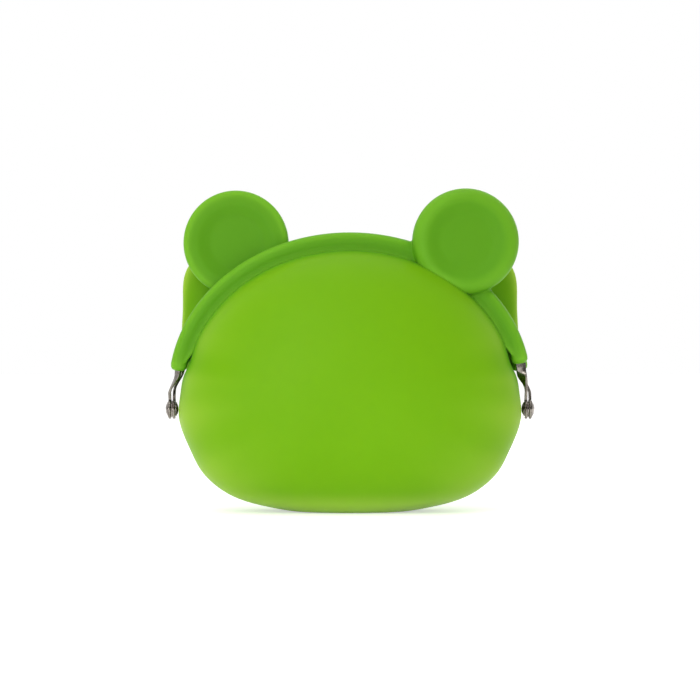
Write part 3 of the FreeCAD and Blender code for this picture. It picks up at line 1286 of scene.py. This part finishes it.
@dataclass
class Bow:
    """Sprung-steel bow of one half: strip, twisted arms, eyelets and the plate in the ear."""

    form: PurseForm
    hinge: HingeSizes
    rim: Rim
    material: bpy.types.Material
    strip_width: float = 2.8
    strip_thickness: float = 0.8
    strip_showing: float = 0.8
    arm_waist: float = 1.7
    plate_radius: float = 8.8
    plate_segments: int = 72
    edge: float = 0.18
    crease: float = 50.0
    arm_steps: int = 36
    strip_steps: int = 72
    twist_end_share: float = 0.7
    closing_start_share: float = 0.2
    early_twist: float = 60.0
    early_twist_share: float = 0.1

    def section(self, centre: np.ndarray, outward: np.ndarray, turn: float, size: Pair) -> np.ndarray:
        """Closed section of the steel.

        Args:
            centre: Middle of the section.
            outward: Direction of its width before it is twisted.
            turn: Twist about the upright, in radians.
            size: Width and thickness.

        Returns:
            Points round the section.
        """
        c, s = math.cos(turn), math.sin(turn)
        loop = rounded_loop(*size, self.edge)
        width_way = np.array([outward[0] * c, outward[0] * s, outward[2]])
        return centre + loop[:, :1] * width_way + loop[:, 1:] * np.array([-s, c, 0.0])

    def arm(self, station: float, name: str, side: int, first_twist: float) -> list[np.ndarray]:
        """Sections of one arm, from the bead to its eyelet.

        Args:
            station: Angle of the arch where the arm leaves the bead.
            name: Which eyelet of the stack it ends in.
            side: 1 for the right arm and -1 for the left one.
            first_twist: Twist that the steel has where the arm begins, in radians.

        Returns:
            One closed section for each step.
        """
        hinge = self.hinge
        low, high = hinge.places[name]
        begin, outward = self.form.bead_middle(station), self.form.arch_normal(station)
        height = self.form.hinge_height + hinge.shank_radius + hinge.play + hinge.eyelet_thickness
        end = np.array([side * (low + high) / 2, 0.0, height])
        sections = []
        for n in range(self.arm_steps + 1):
            t = n / self.arm_steps
            ease = smooth(t, 0, self.twist_end_share)
            closing = smooth(t, self.closing_start_share, 1)
            centre = np.array([begin[0] + (end[0] - begin[0]) * ease, begin[1] * (1 - closing),
                               begin[2] + (end[2] - begin[2]) * t])
            turn = -first_twist - (math.pi / 2 - first_twist) * ease
            plain = np.array([outward[0], 0.0, outward[2] * (1 - ease)])
            width = self.strip_width + (self.arm_waist - self.strip_width) * math.sin(math.pi * t / 2)
            thickness = self.strip_thickness + (hinge.eyelet_thickness - self.strip_thickness) * t
            sections.append(self.section(centre, plain / np.linalg.norm(plain), turn, (width, thickness)))
        return sections

    def strip(self, right: float, left: float) -> list[np.ndarray]:
        """Sections of the strip in the bead, which starts to twist before the long end.

        Args:
            right: Angle of the arch where it begins.
            left: Angle of the arch where it ends.

        Returns:
            One closed section for each step between the two.
        """
        form, size = self.form, (self.strip_width, self.strip_thickness)
        sections = []
        for n in range(1, self.strip_steps):
            share = n / self.strip_steps
            station = right + (left - right) * share
            turn = -math.radians(self.early_twist) * smooth(share, 1 - self.early_twist_share, 1)
            sections.append(self.section(form.bead_middle(station), form.arch_normal(station), turn, size))
        return sections

    def plate(self) -> Skin:
        """Round plate with soft edges inside the ear.

        Returns:
            The plate's skin in the front half's place.
        """
        reach = self.strip_thickness / 2
        profile = [(self.plate_radius - self.edge, -reach), (self.plate_radius, -reach + self.edge),
                   (self.plate_radius, reach - self.edge), (self.plate_radius - self.edge, reach)]
        points, faces = lathed(profile, self.plate_segments, False)
        centre = self.rim.ear_centre + forward(self.form.strip_depth)
        return np.column_stack([points[:, 1], points[:, 0], points[:, 2]]) + centre, faces

    def build(self, half: Half) -> bpy.types.Object:
        """Build the bow of one half.

        Args:
            half: Which half to build.

        Returns:
            The bow as one object.
        """
        form, hinge = self.form, self.hinge
        right = form.station_at_rise(form.bead_ear_end_rise - self.strip_showing)
        left = 180 - form.station_at_rise(form.bead_long_end_rise - self.strip_showing)
        sections = list(reversed(self.arm(right, "inner_eyelet", 1, 0.0))) + self.strip(right, left)
        sections += self.arm(left, "outer_eyelet", -1, math.radians(self.early_twist))
        skins = [("strip_blank", stacked(sections, True))]
        for name, side in (("inner_eyelet", 1), ("outer_eyelet", -1)):
            span = tuple(sorted(side * x for x in hinge.places[name]))
            skins.append(("eyelet_blank", hinge.ring(hinge.eyelet_radius, span, self.edge)))
        skins.append(("plate_blank", self.plate()))
        piece = joined("bow_" + half.word, [closed_piece(name, skin, half) for name, skin in skins])
        finish_skin(piece, self.material, self.crease)
        return piece

    def dress(self) -> list[bpy.types.Object]:
        """Build both bows and hang each on its half.

        Returns:
            The two bows.
        """
        made = []
        for half in Half:
            piece = self.build(half)
            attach(piece, half.value)
            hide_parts(half.word + "_bow")
            made.append(piece)
        return made


@dataclass
class HingeStack:
    """Rivets and washers of both hinges, made once and set on both sides."""

    hinge: HingeSizes
    material: bpy.types.Material
    sides: int = 2
    washer_edge: float = 0.06
    crease: float = 40.0
    dome_edge: float = 0.1
    dome_edge_share: float = 0.3
    dome_steps: int = 15
    dome_tip_share: float = 0.03
    dimple_radius: float = 0.65
    dimple_depth: float = 0.22
    segments: int = 64

    @property
    def turn(self) -> float:
        """Angle from one side of the purse to the next, in radians."""
        return 2 * math.pi / self.sides

    def pair_tree(self) -> ShapeTree:
        """Tree that sets a piece of the right hinge on both sides of the purse.

        Returns:
            The new tree.
        """
        tree = ShapeTree("both_sides", {
            "Sides": ("NodeSocketInt", self.sides), "Turn": ("NodeSocketFloat", self.turn)})
        places = tree.node("GeometryNodeMeshLine", {"Count": tree.given["Sides"], "Offset": (0.0, 0.0, 0.0)})
        number = tree.node("GeometryNodeInputIndex").outputs[0]
        turn = tree.node("ShaderNodeCombineXYZ", {"Z": tree.maths("MULTIPLY", number, tree.given["Turn"])})
        turning = tree.node("FunctionNodeEulerToRotation", {0: turn.outputs[0]})
        both = tree.node("GeometryNodeInstanceOnPoints", {
            "Points": places.outputs[0], "Instance": tree.given["Geometry"], "Rotation": turning.outputs[0]})
        tree.end(both.outputs[0])
        return tree

    def dome(self, radius: float, base: float, height: float) -> list[Pair]:
        """Section of a rivet end, from its soft edge to its tip.

        Args:
            radius: Its radius.
            base: Where its flat side lies along X.
            height: How far it stands out; a negative height points inwards.

        Returns:
            Radius and distance along X of each point.
        """
        tall, way = abs(height), math.copysign(1, height)
        ball = (radius ** 2 + tall ** 2) / (2 * tall)
        short = self.dome_edge_share * self.dome_edge
        section = [(radius - self.dome_edge, base), (radius - short, base + way * short)]
        for n in range(1, self.dome_steps):
            reach = radius * (1 - n / self.dome_steps)
            rise = math.sqrt(ball ** 2 - reach ** 2) - (ball - tall)
            section.append((reach, base + way * rise))
        return section + [(self.dome_tip_share * radius, base + height)]

    def rivet(self) -> Skin:
        """Right rivet with a domed head and a peened, dimpled tail.

        Returns:
            The rivet's skin.
        """
        hinge = self.hinge
        (tip, tail_base), (head_base, _) = hinge.places["tail"], hinge.places["head"]
        dimpled = []
        for radius, along in self.dome(hinge.tail_radius, tail_base, -hinge.tail_height):
            floor = tip + self.dimple_depth * (1 - smooth(radius, 0, self.dimple_radius))
            dimpled.append((radius, max(along, floor)))
        shank = [(hinge.shank_radius, tail_base), (hinge.shank_radius, head_base)]
        head = self.dome(hinge.head_radius, head_base, hinge.head_height)
        return hinge.lifted(lathed(list(reversed(dimpled)) + shank + head, self.segments, False))

    def dress(self) -> list[bpy.types.Object]:
        """Build rivets and washers on both sides and hang them on the pouch.

        Returns:
            The rivets and both kinds of washer.
        """
        hinge, edge = self.hinge, self.washer_edge
        skins = {
            "rivet": self.rivet(),
            "inner_washer": hinge.ring(hinge.inner_washer_radius, hinge.places["inner_washer"], edge),
            "spacer_washer": hinge.ring(hinge.spacer_radius, hinge.places["spacer"], edge),
        }
        tree = self.pair_tree()
        made = []
        for name, skin in skins.items():
            piece = closed_piece(name + "_blank", skin)
            tree.run(piece, {"Sides": self.sides, "Turn": self.turn, "Material": self.material})
            piece.name = name + "s"
            finish_skin(piece, self.material, self.crease)
            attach(piece, "pouch")
            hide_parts("left_" + name, "right_" + name)
            made.append(piece)
        return made


@dataclass(frozen=True)
class Lamp:
    """Soft square lamp, with its power in watts and the full angle of its beam in degrees."""

    name: str
    place: Place
    size: float
    power: float
    aim: Place = (0.0, 0.0, MIDDLE_HEIGHT)
    spread: float = 180.0

    def hang(self) -> None:
        """Hang the lamp in the scene."""
        data = bpy.data.lights.new(self.name, "AREA")
        data.shape = "SQUARE"
        data.size = self.size
        data.energy = self.power
        data.spread = math.radians(self.spread)
        lamp = in_scene(self.name, data)
        lamp.location = self.place
        lamp.rotation_euler = (Vector(self.aim) - Vector(self.place)).to_track_quat("-Z", "Y").to_euler()


@dataclass
class Studio:
    """Plain white studio with soft lamps and the camera of the picture."""

    distance: float = 0.55
    frame_width: float = 0.1992
    sensor: float = 36.0
    sky_light: float = 0.62
    front_share: float = 0.05
    front_cone: Pair = (-0.95, -0.35)
    floor_reach: float = 3.0
    floor_roughness: float = 0.9
    floor_specular: float = 0.1
    floor_glow: float = 0.5
    mirrored_glow: float = 0.9
    lamps: tuple[Lamp, ...] = (
        Lamp("top_lamp", (-0.1, -0.1, 0.8), 0.6, 1.2),
        Lamp("key_lamp", (-0.48, -0.68, 0.25), 0.4, 0.6),
        Lamp("low_lamp", (-0.2, -0.59, 0.07), 0.13, 0.45),
        Lamp("floor_lamp", (-0.05, -0.24, 0.16), 0.15, 0.04, aim=(0.0, -0.1, 0.0), spread=60.0),
        Lamp("back_lamp", (0.25, 0.7, 0.4), 0.5, 1.3),
    )

    def camera(self) -> None:
        """Set the camera level with the middle of the purse."""
        data = bpy.data.cameras.new("camera")
        data.sensor_width = self.sensor
        data.lens = self.sensor * self.distance / self.frame_width
        eye = in_scene("camera", data)
        eye.location = (0.0, -self.distance, MIDDLE_HEIGHT)
        eye.rotation_euler = (math.pi / 2, 0.0, 0.0)
        bpy.context.scene.camera = eye

    def floor(self) -> None:
        """Lay a wide white floor that still takes the purse's shadow."""
        reach = self.floor_reach
        mesh = bpy.data.meshes.new("floor")
        mesh.from_pydata([(-reach, -reach, 0), (reach, -reach, 0), (reach, reach, 0), (-reach, reach, 0)],
                         [], [(0, 1, 2, 3)])
        material, tree, shader = new_material("white_floor")
        by_camera, mirrored = tree.rays()
        seen = tree.maths("MULTIPLY", by_camera, self.floor_glow)
        shown = tree.maths("MULTIPLY", mirrored, self.mirrored_glow)
        tree.fill(shader, {
            "Base Color": Colour.PAPER,
            "Roughness": self.floor_roughness,
            "Specular IOR Level": self.floor_specular,
            "Emission Color": WHITE,
            "Emission Strength": tree.maths("MAXIMUM", seen, shown),
        })
        mesh.materials.append(material)
        floor = in_scene("floor", mesh)

    def world(self) -> None:
        """Light everything from a pale sky that the camera sees as white.

        Steel and gloss show a tent of white cloth that is open on the side where the picture
        is taken, so that what faces that side mirrors a dim room.
        """
        world = bpy.data.worlds.new("pale_sky")
        world.use_nodes = True
        bpy.context.scene.world = world
        tree = Tree(world.node_tree)
        by_camera, mirrored = tree.rays()
        way = tree.node("ShaderNodeSeparateXYZ", {0: tree.node("ShaderNodeTexCoord").outputs["Generated"]})
        cloth = tree.ranged(way.outputs["Y"], self.front_cone, (self.front_share, 1.0), "SMOOTHSTEP")
        tent = tree.ranged(mirrored, (0.0, 1.0), (self.sky_light, cloth))
        tree.fill(world.node_tree.nodes["Background"], {
            "Color": WHITE, "Strength": tree.maths("MAXIMUM", tent, by_camera)})

    def build(self) -> None:
        """Set up the camera, floor, sky and lamps."""
        self.camera()
        self.floor()
        self.world()
        for lamp in self.lamps:
            lamp.hang()
        bpy.context.scene.view_settings.view_transform = "Standard"


def corners(box: tuple[Vector, Vector]) -> list[list[float]]:
    """A box's two corners as plain lists."""
    return [list(corner) for corner in box]


def main() -> None:
    """Build the purse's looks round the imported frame."""
    logging.basicConfig(level=logging.INFO, format="%(name)s: %(message)s")
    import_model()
    form = PurseForm()
    Studio().build()
    pouch_silicone = SiliconeFinish("pouch_silicone", Colour.LIME, Colour.DEEP_LIME, Colour.PALE_LIME).make()
    # The rim's darker green is partly painted shade.
    rim_silicone = SiliconeFinish("rim_silicone", Colour.LEAF, Colour.DEEP_LEAF, Colour.PALE_LEAF).make()
    spring_steel = SteelFinish("spring_steel", Colour.STEEL).make()
    rivet_steel = SteelFinish("rivet_steel", Colour.BRIGHT_STEEL, roughness=0.17).make()
    pouch = Pouch(form, pouch_silicone)
    rim = Rim(form, pouch, rim_silicone)
    hinge = HingeSizes(form)
    pieces = pouch.dress() + rim.dress()
    pieces += Bow(form, hinge, rim, spring_steel).dress()
    pieces += HingeStack(hinge, rivet_steel).dress()
    for piece in pieces:
        LOG.info("%s: %d faces", piece.name, len(piece.data.polygons))


if __name__ == "__main__":
    main()
